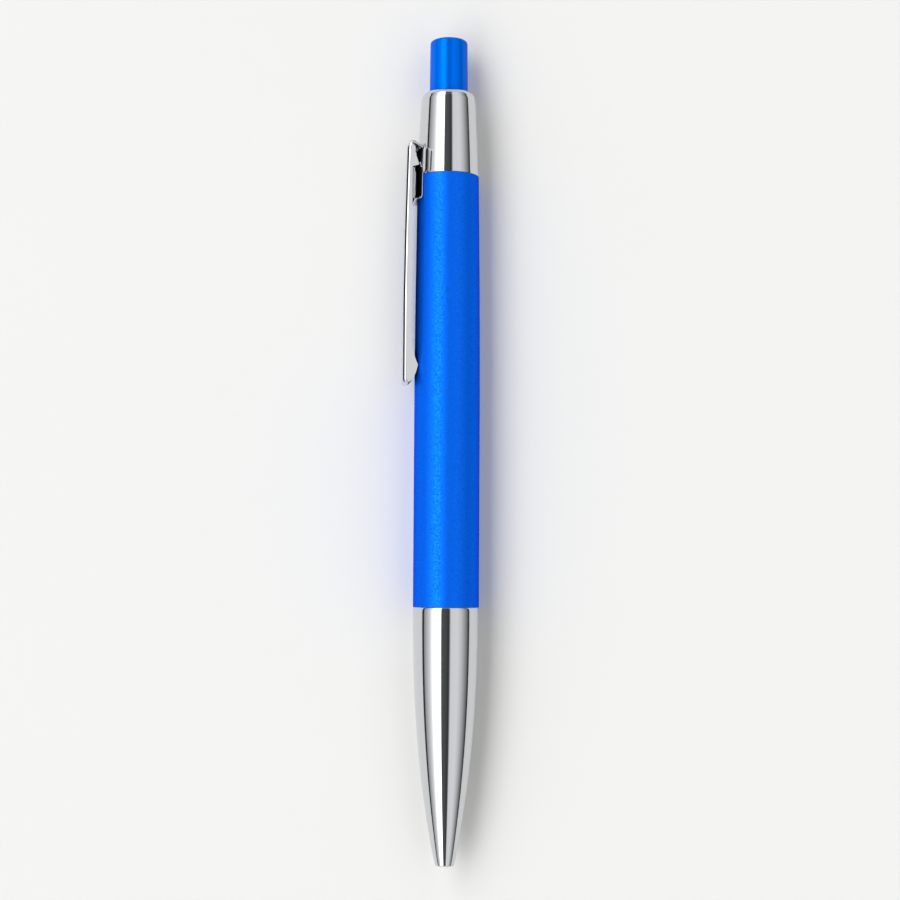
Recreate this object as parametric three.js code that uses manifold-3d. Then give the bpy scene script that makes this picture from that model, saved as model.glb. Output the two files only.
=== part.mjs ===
// A pushbutton ballpoint pen: chrome nose cone and upper ring, blue metal barrel, a sprung
// pocket clip, and the click mechanism with its refill inside.
// Millimetres. The pen lies along Y with its nose at -Y and its button at +Y, rests at z = 0,
// and its clip points to -X. Heights along the pen are stations, counted from the nose end.
import * as THREE from 'three';
import { mergeVertices } from 'three/addons/utils/BufferGeometryUtils.js';
import Module from 'manifold-3d';

const wasm = await Module();
wasm.setup();

// Nose cone
const coneLength = 42.35;
const noseEndRadius = 1.61;
const noseEndRounding = 0.3;
const noseRimLength = 1.2;
const conePower = 2.3;
const seatStation = 7.5;
const chamberLength = 13.5;
const threadLength = 6.6;

// Barrel
const barrelWall = 0.68;
const barrelFlare = 0.32;
const barrelTaperLength = 37;
const barrelTaperPower = 1.6;
const jointAboveRefill = 16.05;
const jointGap = 0.05;

// Upper ring
const ringLength = 14.45;
const ringTaperPower = 1.45;
const shoulderRounding = 1.2;
const lipLength = 1.75;
const lipFace = 0.05;

// Push button
const buttonRadius = 3.24;
const buttonDraft = 0.07;
const buttonRounding = 0.6;
const buttonStandOut = 9.1;
const buttonCrownWall = 5.2;
const stroke = 5.8;

// Clearances: sliding pieces, pieces that are fixed in each other, and faces that meet
const slideClearance = 0.11;
const fixedClearance = 0.1;
const seatGap = 0.3;

// How far an added feature reaches into the body that it grows from
const rootBite = 0.4;

// Bushes and threads
const bushWall = 0.5;
const bushInBarrel = 8;
const bushInRing = 6;
const threadStep = 0.2;
const refillPassage = 0.35;

// Refill
const refillLength = 98;
const tipRecess = 1;
const refillRadius = 2.95;
const refillWall = 0.3;
const pointLength = 14.2;
const pointRadius = 1.05;
const pointTipRadius = 0.5;
const pointTaper = 2.4;
const pointRoot = 2.5;
const ballRadius = 0.35;
const ballClearance = 0.05;
const neckLength = 11.3;
const neckRadius = 1.75;
const neckShoulder = 2;
const neckPlug = 2;
const crownHead = 2.5;
const crownPlug = 3.2;
const crownNotches = 6;
const crownNotchRadius = 0.4;
const inkLength = 52;
const greaseLength = 3;

// Return spring
const springMeanRadius = 2.16;
const springWireRadius = 0.22;
const springCurls = 9;
const springCurlSteps = 8;
const springWireSides = 5;

// Click mechanism
const sleeveWall = 0.45;
const sleeveUnderLip = 0.15;
const slotCount = 4;
const slotStop = 1;
const ribWidth = 1;
const ribHeight = 0.6;
const pusherRadius = 2.45;
const pusherRibLength = 5.6;
const pusherBoreDepth = 5.5;
const toothHeight = 1;
const toothLand = 0.15;
const facetsPerTooth = 4;
const rotorLength = 6.8;
const rotorRibLength = 4.9;
const rotorRibSlope = 0.8;
const rotorPinRadius = 1.2;
const rotorPinLength = 3.6;
const latchTravel = 4.1;

// Pocket clip: heights and drops are measured from the joint between the barrel and the ring
const clipRoll = THREE.MathUtils.degToRad(5);
const clipWidth = 5.4;
const clipSheet = 0.4;
const clipEdgeRounding = 0.42;
const clipHead = 5.65;
const clipTail = 35.4;
const clipRootRise = 4.8;
const clipRootReach = 1.95;
const clipMidReach = 2.17;
const clipMidDrop = 9;
const clipTailReach = 2.13;
const rootGap = 0.1;
const headTurnDrop = 2.5;
const headTurnRun = 1.15;
const headCrest = 0.25;
const headSlope = 0.1;
const tailFlatLength = 14.5;
const tailCornerReach = 0.45;
const tailCornerRise = 0.8;
const tailLip = 0.95;
const flangeGap = 0.84;
const flangeBow = 0.14;
const bowDrops = [11.3, 19.8, 25.6];
const earShank = 1.5;
const earDrop = 3.45;
const earReach = 0.42;
const earRounding = 0.25;
const plateTurn = 0.3;
const bumpGap = 0.33;
const bumpStation = 3.1;
const bumpLead = 5.3;
const bumpRun = 2.4;
const bumpHeel = 0.38;

// Spring leaf under the clip
const leafSheet = 0.3;
const leafGap = 0.08;
const leafOverhang = 0.2;
const leafTop = 4.05;
const leafFoot = 4.1;
const leafHook = 5.4;
const leafCorner = 0.75;
const leafEdge = 0.15;
const tabRise = 1.5;
const tabReach = 0.75;
const tabFoot = 0.1;

// Facets round the pen
const around = 48;
const aroundInner = 32;
const aroundSmall = 24;

// Radii that follow from the chain of fits, from the button outwards
const mouthRadius = buttonRadius + slideClearance;
const sleeveBore = buttonRadius + slideClearance;
const sleeveRadius = sleeveBore + sleeveWall;
const bushBore = sleeveRadius + fixedClearance;
const bushRadius = bushBore + bushWall;
const barrelBore = bushRadius + fixedClearance;
const barrelTopRadius = barrelBore + barrelWall;
const barrelRadius = barrelTopRadius + barrelFlare;
const shoulderRadius = mouthRadius + lipFace + shoulderRounding;
const threadRadius = bushRadius - threadStep;
const threadBore = threadRadius + fixedClearance;
const refillBore = refillRadius + refillPassage;
const plugRadius = refillRadius - refillWall - fixedClearance;
const noseBore = pointRadius + slideClearance;
const chamberRadius = springMeanRadius + springWireRadius + slideClearance;
const guideBore = pusherRadius + slideClearance;
const slotRadius = guideBore + ribHeight;
const slotWidth = ribWidth + 2 * slideClearance;
const pusherBore = rotorPinRadius + slideClearance;

// Stations that follow from the refill and the stroke
const barrelStation = coneLength + jointGap;
const refillTop = tipRecess + refillLength;
const jointStation = refillTop + jointAboveRefill;
const barrelLength = jointStation - jointGap - barrelStation;
const ringStation = jointStation;
const mouthStation = ringStation + ringLength;
const buttonTop = mouthStation + buttonStandOut;
const rotorStation = refillTop + seatGap;
const rotorRibTop = rotorStation + rotorLength - toothHeight;
const sleeveFoot = rotorRibTop - latchTravel;
const sleeveTop = mouthStation - lipLength - sleeveUnderLip;
const pusherFoot = rotorStation + rotorLength + seatGap - toothHeight;
const pusherRibFoot = pusherFoot + toothHeight;
const slotTop = pusherRibFoot + pusherRibLength + seatGap;
const guideTop = slotTop + slotStop;
const buttonFoot = guideTop + stroke + seatGap;
const springFoot = seatStation + seatGap;
const springTop = tipRecess + pointLength + neckLength - seatGap;

// Colours, roughness and metalness of each finish
const finishes = {
  chrome: [0xd8dadd, 0.08, 1],
  blueLacquer: [0x0064e6, 0.3, 0.5],
  bluePlastic: [0x006ae0, 0.3, 0],
  brass: [0xb9975b, 0.35, 1],
  whitePlastic: [0xe8e8e4, 0.5, 0],
  blackPlastic: [0x26282b, 0.5, 0],
  springSteel: [0xa9adb2, 0.3, 1],
  steel: [0xb9bcc0, 0.35, 1],
  carbide: [0x77797c, 0.15, 1],
  ink: [0x10185a, 0.2, 0],
  grease: [0xcfc48e, 0.4, 0],
};

function finish(name) {
  const [color, roughness, metalness] = finishes[name];
  return new THREE.MeshStandardMaterial({ color, roughness, metalness });
}

// A solid from a closed geometry, turned to face outwards
function solid(geometry) {
  const bare = geometry.index ? geometry.toNonIndexed() : geometry.clone();
  bare.deleteAttribute('normal');
  bare.deleteAttribute('uv');
  const merged = mergeVertices(bare, 1e-4);
  const points = merged.attributes.position;
  const corners = [];
  let volume = 0;
  const a = new THREE.Vector3();
  const b = new THREE.Vector3();
  const c = new THREE.Vector3();
  for (let i = 0; i < merged.index.count; i += 3) {
    const triangle = [merged.index.getX(i), merged.index.getX(i + 1), merged.index.getX(i + 2)];
    if (new Set(triangle).size < 3) continue;
    corners.push(triangle);
    a.fromBufferAttribute(points, triangle[0]);
    b.fromBufferAttribute(points, triangle[1]);
    c.fromBufferAttribute(points, triangle[2]);
    volume += a.dot(b.cross(c));
  }
  if (volume < 0) corners.forEach((triangle) => triangle.reverse());
  const triVerts = new Uint32Array(corners.flat());
  const vertProperties = new Float32Array(points.array);
  return new wasm.Manifold(new wasm.Mesh({ numProp: 3, vertProperties, triVerts }));
}

function piece(name, body, finishName, station = 0) {
  const { vertProperties, triVerts } = body.getMesh();
  const geometry = new THREE.BufferGeometry();
  geometry.setAttribute('position', new THREE.BufferAttribute(new Float32Array(vertProperties), 3));
  geometry.setIndex(new THREE.BufferAttribute(new Uint32Array(triVerts), 1));
  geometry.computeVertexNormals();
  const mesh = new THREE.Mesh(geometry, finish(finishName));
  mesh.name = name;
  mesh.position.y = station;
  return mesh;
}

// A body of revolution about Y from [radius, station] points
function revolve(profile, segments = around) {
  const points = profile.map(([radius, station]) => new THREE.Vector2(Math.max(radius, 0), station));
  return solid(new THREE.LatheGeometry(points, segments));
}

// A tube of revolution: its outer profile going up, then its inner one coming down
function tube(outer, inner, segments = around) {
  return revolve([...outer, ...inner, outer[0]], segments);
}

function rod(radius, from, to, segments = aroundInner) {
  return revolve([[0, from], [radius, from], [radius, to], [0, to]], segments);
}

// Points of a quarter round on a profile, from one angle to another about its centre
function roundCorner(centreRadius, centreStation, size, from, to, steps = 4) {
  return Array.from({ length: steps + 1 }, (_, i) => {
    const angle = THREE.MathUtils.degToRad(from + ((to - from) * i) / steps);
    return [centreRadius + size * Math.cos(angle), centreStation + size * Math.sin(angle)];
  });
}

function steps(from, to, count) {
  return Array.from({ length: count + 1 }, (_, i) => from + ((to - from) * i) / count);
}

// A prism whose outline lies in the clip's side view: reach from the axis, and height from the joint
function sidePrism(outline, width, options = {}) {
  const shape = new THREE.Shape(outline.map(([reach, height]) => new THREE.Vector2(-reach, height)));
  const rounding = options.rounding ?? 0;
  const geometry = new THREE.ExtrudeGeometry(shape, {
    depth: width - 2 * rounding,
    curveSegments: 6,
    bevelEnabled: rounding > 0,
    bevelSize: rounding,
    bevelThickness: rounding,
    bevelOffset: -rounding,
    bevelSegments: 3,
  });
  geometry.translate(0, 0, -width / 2 + rounding);
  return solid(geometry);
}

function curve(from, control, to, count = 5) {
  const bend = new THREE.QuadraticBezierCurve(
    new THREE.Vector2(...from),
    new THREE.Vector2(...control),
    new THREE.Vector2(...to),
  );
  return bend.getPoints(count).map((point) => [point.x, point.y]);
}

// Radius of the cone's skin at a station
function coneRadiusAt(station) {
  const rise = 1 - (1 - station / coneLength) ** conePower;
  return noseEndRadius + (barrelRadius - noseEndRadius) * rise;
}

// Radius of the barrel's skin at a height over its lower end
function barrelRadiusAt(height) {
  const share = Math.max(0, (height - (barrelLength - barrelTaperLength)) / barrelTaperLength);
  return barrelRadius - barrelFlare * share ** barrelTaperPower;
}

// Radius of the ring's skin at a height over its lower end
function ringRadiusAt(height) {
  const share = height / (ringLength - shoulderRounding);
  return barrelTopRadius - (barrelTopRadius - shoulderRadius) * share ** ringTaperPower;
}

// Radius of the pen's skin at a height over the joint of barrel and ring
function skinRadiusAt(height) {
  return height >= 0 ? ringRadiusAt(height) : barrelRadiusAt(barrelLength + height);
}

function noseCone() {
  const rim = roundCorner(noseEndRadius - noseEndRounding, noseEndRounding, noseEndRounding, -90, -8, 3);
  const skin = steps(noseRimLength, coneLength, 15).map((station) => [coneRadiusAt(station), station]);
  const threadFoot = coneLength - threadLength;
  const inside = [
    [threadBore, coneLength],
    [threadBore, threadFoot],
    [refillBore, threadFoot],
    [refillBore, seatStation + chamberLength],
    [chamberRadius, seatStation + chamberLength],
    [chamberRadius, seatStation],
    [noseBore, seatStation],
    [noseBore, 0],
  ];
  return piece('nose_cone', tube([...rim, ...skin], inside), 'chrome');
}

// The threaded sleeve in the barrel's front end, on which the cone is screwed
function frontBush() {
  const reach = threadLength - seatGap;
  const outer = [
    [threadRadius, -reach],
    [threadRadius, 0],
    [bushRadius, 0],
    [bushRadius, bushInBarrel],
  ];
  const inner = [
    [refillBore, bushInBarrel],
    [refillBore, -reach],
  ];
  return piece('front_bush', tube(outer, inner, aroundInner), 'brass', barrelStation);
}

function barrel() {
  const straight = barrelLength - barrelTaperLength;
  const heights = [0, ...steps(straight, barrelLength, 9)];
  const skin = heights.map((height) => [barrelRadiusAt(height), height]);
  const inside = [
    [barrelBore, barrelLength],
    [barrelBore, 0],
  ];
  return piece('barrel', tube(skin, inside), 'blueLacquer', barrelStation);
}

// The sleeve that joins the barrel to the ring and carries the click mechanism
function rearBush() {
  const outer = [
    [bushRadius, -bushInBarrel],
    [bushRadius, bushInRing],
  ];
  const inner = [
    [bushBore, bushInRing],
    [bushBore, -bushInBarrel],
  ];
  return piece('rear_bush', tube(outer, inner, aroundInner), 'brass', jointStation);
}

function upperRing() {
  const shoulderFoot = ringLength - shoulderRounding;
  const skin = steps(0, shoulderFoot, 9).map((height) => [ringRadiusAt(height), height]);
  const shoulder = roundCorner(shoulderRadius - shoulderRounding, shoulderFoot, shoulderRounding, 0, 90, 6);
  const bushSeat = bushInRing + seatGap;
  const lipFoot = ringLength - lipLength;
  const inside = [
    [mouthRadius, ringLength],
    [mouthRadius, lipFoot],
    [bushBore, lipFoot],
    [bushBore, bushSeat],
    [barrelBore, bushSeat],
    [barrelBore, 0],
  ];
  return piece('upper_ring', tube([...skin, ...shoulder.slice(1)], inside), 'chrome', ringStation);
}

function pushButton() {
  const length = buttonTop - buttonFoot;
  const topRadius = buttonRadius - buttonDraft;
  const mouth = mouthStation - buttonFoot;
  const edge = roundCorner(topRadius - buttonRounding, length - buttonRounding, buttonRounding, 0, 90, 6);
  const bore = pusherRadius + fixedClearance;
  const profile = [
    [bore, 0],
    [buttonRadius, 0],
    [buttonRadius, mouth],
    ...edge,
    [0, length],
    [0, length - buttonCrownWall],
    [bore, length - buttonCrownWall],
    [bore, 0],
  ];
  return piece('push_button', revolve(profile, around), 'bluePlastic', buttonFoot);
}

// A toothed crown: a ring whose free edge zigzags, pointing up or down from its root plane
function toothedRing(innerRadius, outerRadius, base, root, tip) {
  const segments = 2 * slotCount * facetsPerTooth;
  const edge = [];
  for (let i = 0; i < segments; i++) {
    const share = (i % facetsPerTooth) / facetsPerTooth;
    const rise = share < 0.5 ? 2 * share : 2 - 2 * share;
    edge.push(root + (tip - root) * rise);
  }
  const vertices = [];
  for (let i = 0; i < segments; i++) {
    const angle = (2 * Math.PI * i) / segments;
    for (const [radius, height] of [
      [innerRadius, base],
      [outerRadius, base],
      [outerRadius, edge[i]],
      [innerRadius, edge[i]],
    ]) {
      vertices.push(radius * Math.sin(angle), height, radius * Math.cos(angle));
    }
  }
  const index = [];
  for (let i = 0; i < segments; i++) {
    const here = 4 * i;
    const next = 4 * ((i + 1) % segments);
    for (let side = 0; side < 4; side++) {
      const after = (side + 1) % 4;
      index.push(here + side, next + side, next + after);
      index.push(here + side, next + after, here + after);
    }
  }
  const geometry = new THREE.BufferGeometry();
  geometry.setAttribute('position', new THREE.Float32BufferAttribute(vertices, 3));
  geometry.setIndex(index);
  return solid(geometry);
}

// Ribs that stand out of a cylinder, one for each slot, from an outline across and along the rib
function ribs(outline, innerRadius, outerRadius) {
  const shape = new THREE.Shape(outline.map(([across, height]) => new THREE.Vector2(across, height)));
  const rib = new THREE.ExtrudeGeometry(shape, { depth: outerRadius - innerRadius, bevelEnabled: false });
  rib.translate(0, 0, innerRadius);
  return Array.from({ length: slotCount }, (_, i) =>
    solid(rib.clone().rotateY((2 * Math.PI * i) / slotCount)),
  );
}

function ribOutline(width, from, to, slope = 0) {
  return [
    [-width / 2, from],
    [width / 2, from],
    [width / 2, to - slope],
    [-width / 2, to],
  ];
}

// The fixed guide of the click mechanism, with the slots in which the ribs slide
function camSleeve() {
  const length = sleeveTop - sleeveFoot;
  const step = guideTop - sleeveFoot;
  const outer = [
    [sleeveRadius, 0],
    [sleeveRadius, length],
  ];
  const inner = [
    [sleeveBore, length],
    [sleeveBore, step],
    [guideBore, step],
    [guideBore, 0],
  ];
  const slots = ribs(ribOutline(slotWidth, -rootBite, slotTop - sleeveFoot), guideBore - rootBite, slotRadius);
  let body = tube(outer, inner, aroundInner);
  for (const slot of slots) body = body.subtract(slot);
  return piece('cam_sleeve', body, 'whitePlastic', sleeveFoot);
}

// The toothed pusher that the button carries
function pusher() {
  const top = buttonTop - buttonCrownWall - seatGap - pusherFoot;
  const toothInner = pusherBore + toothLand;
  const boreTop = toothHeight + pusherBoreDepth;
  let body = rod(pusherRadius, toothHeight, top);
  body = body.subtract(rod(pusherBore, 0, boreTop, aroundSmall));
  const base = toothHeight + rootBite;
  const crown = toothedRing(toothInner, pusherRadius, base, toothHeight, 0);
  body = body.add(crown);
  const outline = ribOutline(ribWidth, toothHeight, toothHeight + pusherRibLength);
  for (const rib of ribs(outline, pusherRadius - rootBite, pusherRadius + ribHeight)) body = body.add(rib);
  return piece('pusher', body, 'whitePlastic', pusherFoot);
}

// The ratchet that turns by a tooth at each press and stands on the refill
function camRotor() {
  const crownFoot = rotorLength - toothHeight;
  const bodyTop = crownFoot - toothHeight / 2;
  const toothInner = pusherBore + toothLand;
  const toothOuter = pusherRadius - slideClearance;
  let body = rod(toothOuter, 0, bodyTop);
  body = body.add(toothedRing(toothInner, toothOuter, bodyTop - rootBite, rotorLength, crownFoot));
  body = body.add(rod(rotorPinRadius, bodyTop - rootBite, rotorLength + rotorPinLength, aroundSmall));
  const outline = ribOutline(ribWidth, crownFoot - rotorRibLength, crownFoot, rotorRibSlope);
  const ribRadius = pusherRadius + ribHeight - slideClearance / 2;
  for (const rib of ribs(outline, toothOuter - rootBite, ribRadius)) body = body.add(rib);
  return piece('cam_rotor', body, 'blackPlastic', rotorStation);
}

function refillPoint() {
  const cup = ballRadius + ballClearance;
  const cupTop = 3 * ballRadius;
  const profile = [
    [0, cupTop],
    [cup, cupTop],
    [cup, ballRadius],
    [pointTipRadius, ballRadius],
    [pointRadius, ballRadius + pointTaper],
    [pointRadius, pointLength + pointRoot],
    [0, pointLength + pointRoot],
  ];
  return piece('refill_point', revolve(profile, aroundSmall), 'brass', tipRecess);
}

function writingBall() {
  const outline = roundCorner(0, ballRadius, ballRadius, -90, 90, 6);
  return piece('writing_ball', revolve(outline, 12), 'carbide', tipRecess);
}

// The reducer between the refill's point and its tube, whose shoulder takes the spring
function refillNeck() {
  const bore = pointRadius + fixedClearance;
  const top = neckLength + neckShoulder;
  const outer = [
    [neckRadius, 0],
    [neckRadius, neckLength],
    [refillRadius, top],
    [plugRadius, top],
    [plugRadius, top + neckPlug],
  ];
  const inner = [
    [bore, top + neckPlug],
    [bore, 0],
  ];
  return piece('refill_neck', tube(outer, inner, aroundSmall), 'brass', tipRecess + pointLength);
}

const tubeStation = tipRecess + pointLength + neckLength + neckShoulder + jointGap;
const tubeLength = refillTop - crownHead - jointGap - tubeStation;

function refillTube() {
  const outer = [
    [refillRadius, 0],
    [refillRadius, tubeLength],
  ];
  const inner = [
    [refillRadius - refillWall, tubeLength],
    [refillRadius - refillWall, 0],
  ];
  return piece('refill_tube', tube(outer, inner, aroundSmall), 'steel', tubeStation);
}

const inkStation = tubeStation + neckPlug + seatGap;

function inkColumn() {
  return piece('ink_column', rod(plugRadius, 0, inkLength, aroundSmall), 'ink', inkStation);
}

function greasePlug() {
  const station = inkStation + inkLength + jointGap;
  return piece('grease_plug', rod(plugRadius, 0, greaseLength, aroundSmall), 'grease', station);
}

function refillCrown() {
  const outline = [
    [0, -crownPlug],
    [plugRadius, -crownPlug],
    [plugRadius, 0],
    [refillRadius, 0],
    [refillRadius, crownHead],
    [0, crownHead],
  ];
  let body = revolve(outline, aroundSmall);
  for (let i = 0; i < crownNotches; i++) {
    const notch = new THREE.CylinderGeometry(crownNotchRadius, crownNotchRadius, 2 * crownHead, 8);
    notch.translate(refillRadius + crownNotchRadius / 2, 1.5 * crownHead, 0);
    notch.rotateY((2 * Math.PI * i) / crownNotches);
    body = body.subtract(solid(notch));
  }
  return piece('refill_crown', body, 'blackPlastic', refillTop - crownHead);
}

// The return spring as one unbroken round wire
function springPoint(share, radius) {
  const flat = springWireRadius;
  const angle = 2 * Math.PI * springCurls * share;
  const height = flat + share * (springTop - springFoot - 2 * flat);
  return new THREE.Vector3(radius * Math.cos(angle), height, radius * Math.sin(angle));
}

function returnSpring() {
  const rings = springCurls * springCurlSteps;
  const vertices = [];
  for (let i = 0; i <= rings; i++) {
    const centre = springPoint(i / rings, springMeanRadius);
    const angle = (2 * Math.PI * i) / springCurlSteps;
    for (let side = 0; side < springWireSides; side++) {
      const turn = (2 * Math.PI * side) / springWireSides;
      const out = springWireRadius * Math.cos(turn);
      const up = springWireRadius * Math.sin(turn);
      vertices.push(centre.x + out * Math.cos(angle), centre.y + up, centre.z + out * Math.sin(angle));
    }
  }
  const index = [];
  for (let i = 0; i < rings; i++) {
    for (let side = 0; side < springWireSides; side++) {
      const here = i * springWireSides + side;
      const beside = i * springWireSides + ((side + 1) % springWireSides);
      index.push(here, beside, beside + springWireSides);
      index.push(here, beside + springWireSides, here + springWireSides);
    }
  }
  const last = rings * springWireSides;
  for (let side = 1; side < springWireSides - 1; side++) {
    index.push(0, side + 1, side);
    index.push(last, last + side, last + side + 1);
  }
  const geometry = new THREE.BufferGeometry();
  geometry.setAttribute('position', new THREE.Float32BufferAttribute(vertices, 3));
  geometry.setIndex(index);
  const gap = (springTop - springFoot) / springCurls - 2 * springWireRadius;
  console.log(`return spring: least gap between its curls ${gap.toFixed(2)} mm`);
  return piece('return_spring', solid(geometry), 'springSteel', springFoot);
}

// Reaches of the clip's outer face from the pen's axis
const rootReach = barrelTopRadius + clipRootReach;
const tailReach = barrelRadius + clipTailReach;

// Where the clip's top plate ends: just inside the ring's skin, to be trimmed to it
const plateEnd = skinRadiusAt(clipRootRise) - rootBite;

// The outer line of the clip in side view, from its tail up and over its head to the ring
function clipBack() {
  const corner = curve(
    [tailReach - tailCornerReach, -clipTail],
    [tailReach, -clipTail],
    [tailReach, tailCornerRise - clipTail],
    3,
  );
  const turn = curve(
    [rootReach, clipHead - headTurnDrop],
    [rootReach, clipHead + headCrest],
    [rootReach - headTurnRun, clipHead - headSlope],
    6,
  );
  return [
    ...corner,
    [tailReach, tailFlatLength - clipTail],
    [barrelTopRadius + clipMidReach, -clipMidDrop],
    ...turn,
    [plateEnd, clipRootRise],
  ];
}

// The inner line of the flanges, from the ring down to the tail: root, ear, long edge and bump
function flangeEdge() {
  const edge = barrelTopRadius + flangeGap;
  const shank = edge - earReach;
  const tip = shank - earReach;
  const bow = edge + flangeBow;
  const underPlate = clipHead - clipSheet - plateTurn;
  const earTip = underPlate - earDrop;
  const bumpReach = Math.sqrt(barrelRadius ** 2 - (clipWidth / 2) ** 2) + bumpGap;
  const bump = bumpStation - clipTail;
  const lead = curve([bow, bump + bumpLead], [edge, bump + bumpRun], [bumpReach, bump], 6);
  const heel = curve(
    [bumpReach, bump],
    [bumpReach + bumpHeel, tailLip - clipTail],
    [tailReach - tailLip, -clipTail],
    4,
  );
  return [
    [plateEnd, clipRootRise - clipSheet],
    [shank, underPlate],
    [shank, underPlate - earShank],
    [tip, earTip + earRounding],
    [tip, earTip],
    [edge, earTip - earRounding],
    [edge, -bowDrops[0]],
    [bow, -bowDrops[1]],
    [bow, -bowDrops[2]],
    ...lead,
    ...heel.slice(1),
  ];
}

// A round envelope over the pen's skin near the joint, for trimming what lies on it
function skinEnvelope(gap, from, to) {
  const skin = steps(from, to, 9).map((height) => [skinRadiusAt(height) + gap, height]);
  return revolve([[0, from], ...skin, [0, to]], around);
}

// The clip: a stamped channel with a closed head, an ear and a bump on each flange
function pocketClip() {
  const back = clipBack();
  const block = sidePrism([...back, [rootBite, clipRootRise], [rootBite, -clipTail]], clipWidth, {
    rounding: clipEdgeRounding,
  });
  const outline = sidePrism([...back, ...flangeEdge()], clipWidth);
  const ceiling = clipHead - clipSheet - headSlope;
  const inside = back.map(([reach, height]) => [
    reach - clipSheet,
    THREE.MathUtils.clamp(height, clipSheet - clipTail, ceiling),
  ]);
  const hollow = sidePrism(
    [...inside.slice(0, -1), [plateEnd, clipRootRise - clipSheet], [rootBite, clipSheet - clipTail]],
    clipWidth - 2 * clipSheet,
  );
  let body = block.intersect(outline).subtract(hollow);
  body = body.subtract(skinEnvelope(rootGap, -bowDrops[0], clipHead));
  return piece('pocket_clip', body, 'chrome');
}

// The leaf's saddle, wrapped on the skin of ring and barrel
function leafSaddle(width, sole) {
  const heights = steps(sole + leafEdge, leafTop, 8);
  const outer = heights.map((height) => [skinRadiusAt(height) + leafGap + leafSheet, height]);
  const inner = heights.map((height) => [skinRadiusAt(height) + leafGap, height]).reverse();
  const window = new THREE.BoxGeometry(2 * barrelRadius, 4 * clipHead, width);
  window.translate(-barrelRadius, 0, 0);
  return tube(outer, inner, around).intersect(solid(window));
}

// The leaf's foot in side view, which turns outwards and ends in an upturned hook
function leafHookOutline(reach, sole) {
  const hook = barrelTopRadius + flangeGap - leafGap;
  const top = sole + leafHook;
  return [
    [reach, sole],
    [hook - leafEdge, sole],
    [hook, sole + leafEdge],
    [hook, top],
    [hook - leafSheet, top],
    [hook - leafSheet, sole + leafSheet],
    [reach + leafCorner + leafEdge, sole + leafSheet + leafEdge / 2],
    [reach + leafSheet, sole + leafCorner],
    [reach, sole + leafCorner],
  ];
}

// The lanced tab below the clip's ears, in side view
function leafTabOutline(reach) {
  const under = curve([reach, tabFoot], [reach + tabReach, tabFoot], [reach + tabReach, tabRise], 5);
  const over = curve(
    [reach + tabReach - leafSheet, tabRise],
    [reach + tabReach - leafSheet, tabFoot + leafSheet],
    [reach, tabFoot + leafSheet],
    5,
  );
  return [...under, ...over];
}

// The spring leaf on which the clip rocks
function clipLeaf() {
  const width = clipWidth + 2 * leafOverhang;
  const sole = -leafFoot - leafSheet;
  const reach = Math.sqrt((barrelTopRadius + leafGap) ** 2 - (width / 2) ** 2);
  const cornerTop = sole + leafCorner;
  const bend = curve([reach, cornerTop], [reach, sole], [reach + leafCorner, sole], 5);
  const below = sole - leafCorner;
  const corner = sidePrism([...bend, [reach + leafCorner, below], [0, below], [0, cornerTop]], 2 * width);
  const added = sidePrism(leafHookOutline(reach, sole), width).add(sidePrism(leafTabOutline(reach), width));
  const body = added.subtract(skinEnvelope(leafGap, sole - 1, leafTop)).add(leafSaddle(width, sole));
  return piece('clip_leaf', body.subtract(corner), 'chrome');
}

const pen = new THREE.Group();
const assembly = new THREE.Group();
const clip = new THREE.Group();
clip.position.y = jointStation;
clip.rotation.y = clipRoll;
clip.add(pocketClip(), clipLeaf());
assembly.add(
  barrel(),
  noseCone(),
  frontBush(),
  rearBush(),
  upperRing(),
  clip,
  pushButton(),
  pusher(),
  camSleeve(),
  camRotor(),
  refillPoint(),
  writingBall(),
  refillNeck(),
  refillTube(),
  inkColumn(),
  greasePlug(),
  refillCrown(),
  returnSpring(),
);

// The origin is under the middle of the pen's box, on the surface that the pen lies on
const box = new THREE.Box3().setFromObject(assembly, true);
const middle = box.getCenter(new THREE.Vector3());
assembly.position.set(-middle.x, -middle.y, -box.min.z);
pen.add(assembly);

export default pen;
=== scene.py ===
# %% [markdown]
# A push-button ballpoint pen, finished for a close picture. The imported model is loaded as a
# fixed frame: it says where every piece is and which body it moves with. Most outer pieces are
# then made again, finer and smoother, in exactly the same place, because polished metal shows
# every facet of a coarse mesh.

# %% Load the frame
import math
import bmesh
import bpy
from mathutils import Matrix, Vector


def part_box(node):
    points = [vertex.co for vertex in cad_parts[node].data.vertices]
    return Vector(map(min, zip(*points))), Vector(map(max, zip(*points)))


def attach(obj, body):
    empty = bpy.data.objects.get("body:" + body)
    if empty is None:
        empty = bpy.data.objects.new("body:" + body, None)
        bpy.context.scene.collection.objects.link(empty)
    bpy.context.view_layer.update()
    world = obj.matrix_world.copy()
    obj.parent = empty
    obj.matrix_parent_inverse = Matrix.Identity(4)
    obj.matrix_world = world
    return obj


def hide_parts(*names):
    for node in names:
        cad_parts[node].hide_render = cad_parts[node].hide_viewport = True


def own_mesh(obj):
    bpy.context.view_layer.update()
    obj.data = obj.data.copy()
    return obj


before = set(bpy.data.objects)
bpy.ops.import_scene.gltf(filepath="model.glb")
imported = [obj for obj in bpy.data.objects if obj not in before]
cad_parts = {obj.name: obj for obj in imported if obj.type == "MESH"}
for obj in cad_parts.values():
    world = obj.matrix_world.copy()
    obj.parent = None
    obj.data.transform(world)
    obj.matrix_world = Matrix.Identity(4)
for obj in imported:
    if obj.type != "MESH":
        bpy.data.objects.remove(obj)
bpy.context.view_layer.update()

# %% [markdown]
# Sizes are written in millimetres, as a maker of pens would write them, and turned to metres
# only where a mesh is made. A place on the pen is a radius from its axis, an angle round it and
# a station, the distance from the nose end. Places on the clip are a reach from the axis, a
# height over the joint of barrel and ring, and a distance across, all rolled a little about the
# axis, because the clip of a real pen rarely points exactly sideways.

# %% Places on the pen
MM = 0.001


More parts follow.
